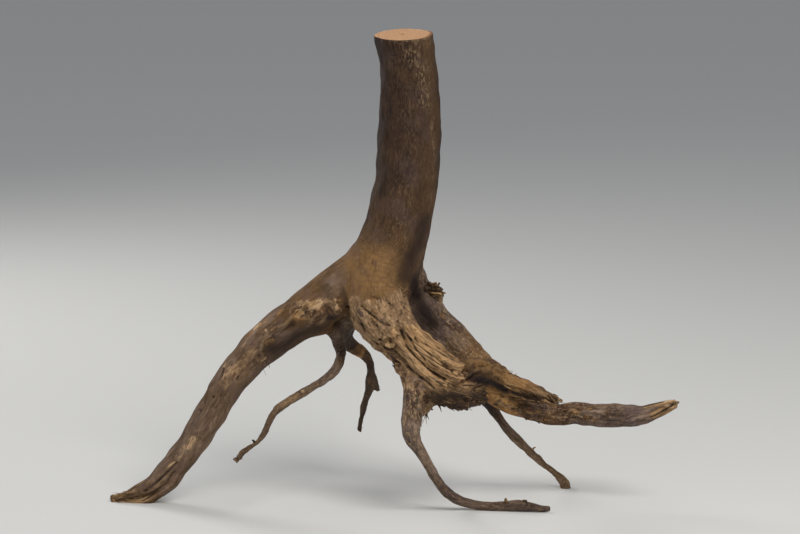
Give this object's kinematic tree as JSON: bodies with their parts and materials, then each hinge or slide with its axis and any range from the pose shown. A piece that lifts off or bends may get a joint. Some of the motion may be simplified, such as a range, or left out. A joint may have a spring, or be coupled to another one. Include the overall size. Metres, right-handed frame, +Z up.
{
  "type": "dry root",
  "caption": "Dry branching tree root: a curved stem with a sawn top over a swollen crown, thick spreading roots with torn and split ends, and thin rootlets that it stands on.",
  "frame": {"origin": "on the floor under the middle of the root's overall width and depth", "axes": "+Z up along the stem, +X towards the long right root, -Y towards the torn front root and the viewer"},
  "size_m": [0.5195, 0.1658, 0.431],
  "materials": {
    "weathered_wood": "dry, matt brown bark with bare grey-tan weathered wood and a pale sawn face"
  },
  "bodies": {
    "root": {"dry_root": "weathered_wood"}
  },
  "joints": []
}
